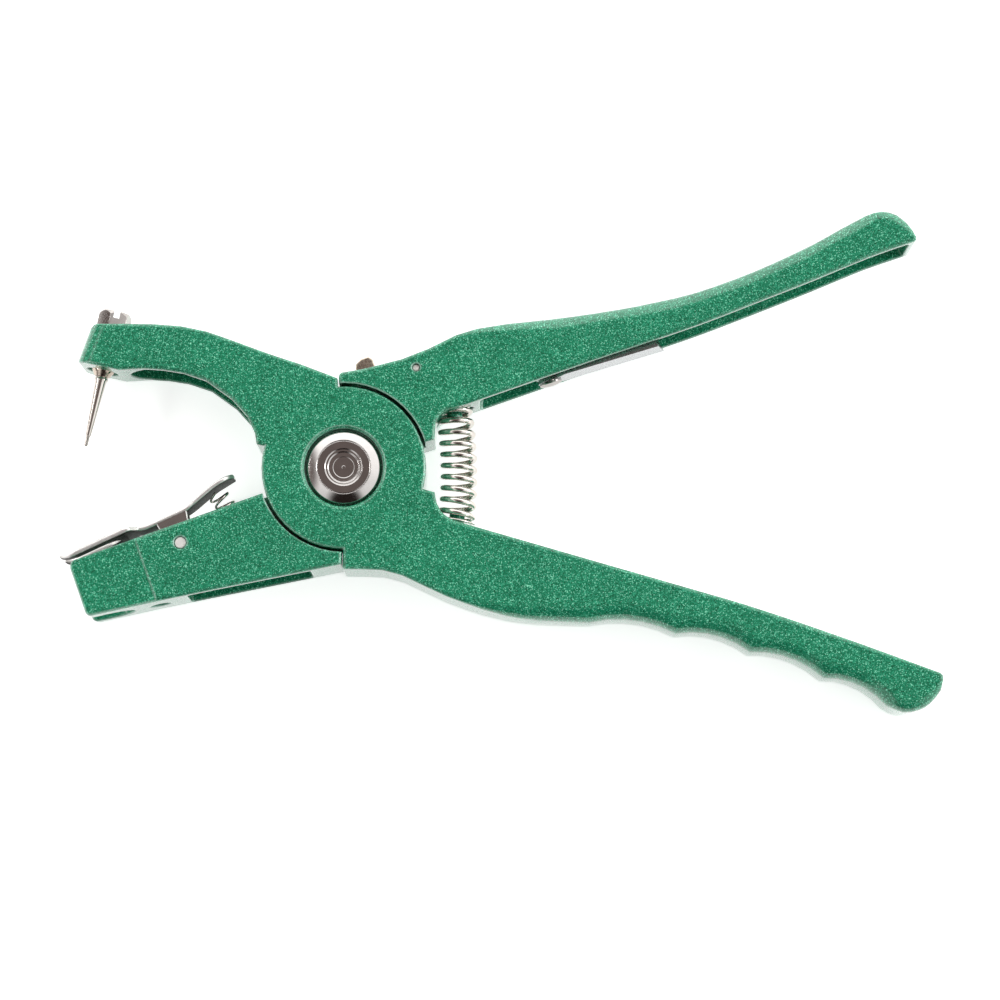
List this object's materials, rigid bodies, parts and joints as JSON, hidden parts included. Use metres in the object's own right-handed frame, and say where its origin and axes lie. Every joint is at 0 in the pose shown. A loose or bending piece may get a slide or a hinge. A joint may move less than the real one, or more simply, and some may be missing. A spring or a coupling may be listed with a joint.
{
  "type": "ear tag applicator",
  "caption": "Hand plier for livestock ear tags: crossed cast levers on a pivot, tapered pin in one jaw, spring clip on the other, coil return spring between grooved handles.",
  "frame": {"origin": "on the pivot axis, in the plane of the back faces that the tool lies on", "axes": "+X from the jaws to the handles, +Y towards the tag lever's handle, +Z out of the front face"},
  "size_m": [0.2478, 0.1429, 0.022],
  "materials": {
    "enamel": "gloss green enamel with metallic flake over cast aluminium",
    "steel": "polished",
    "chromed_sheet": "bright plated sheet",
    "nickel": "nickel plate",
    "tinned_brass": "worn plate"
  },
  "bodies": {
    "pin_side": {"pin_lever": "enamel", "pivot_pin": "steel", "pivot_collar": "steel", "applicator_pin": "steel", "pin_ferrule": "tinned_brass", "pin_screw": "nickel", "return_spring": "steel"},
    "tag_side": {"tag_lever": "enamel", "clip_pin": "nickel", "latch_pin": "nickel", "pin_holder": "chromed_sheet", "holder_screw": "nickel", "spare_pin": "steel"},
    "clip": {"clip_plate": "chromed_sheet", "clip_spring": "steel"},
    "latch": {"lock_latch": "nickel"}
  },
  "joints": [
    {"name": "handle_pivot", "type": "hinge", "parent": "pin_side", "child": "tag_side", "pos_m": [0, 0, 0.011], "axis": [0, 0, -1], "range_deg": [0, 32], "stiffness_Nm_per_rad": 5.7, "springref_deg": -9.17, "deforming": ["return_spring"]},
    {"name": "clip_hinge", "type": "hinge", "parent": "tag_side", "child": "clip", "pos_m": [-0.04564, -0.02143, 0.011], "axis": [0, 0, -1], "range_deg": [0, 12], "stiffness_Nm_per_rad": 0.15, "springref_deg": -20.05, "deforming": ["clip_spring"]},
    {"name": "latch_hinge", "type": "hinge", "parent": "tag_side", "child": "latch", "pos_m": [0.0203, 0.0284, 0.0147], "axis": [0, 0, 1], "range_deg": [0, 12]}
  ]
}
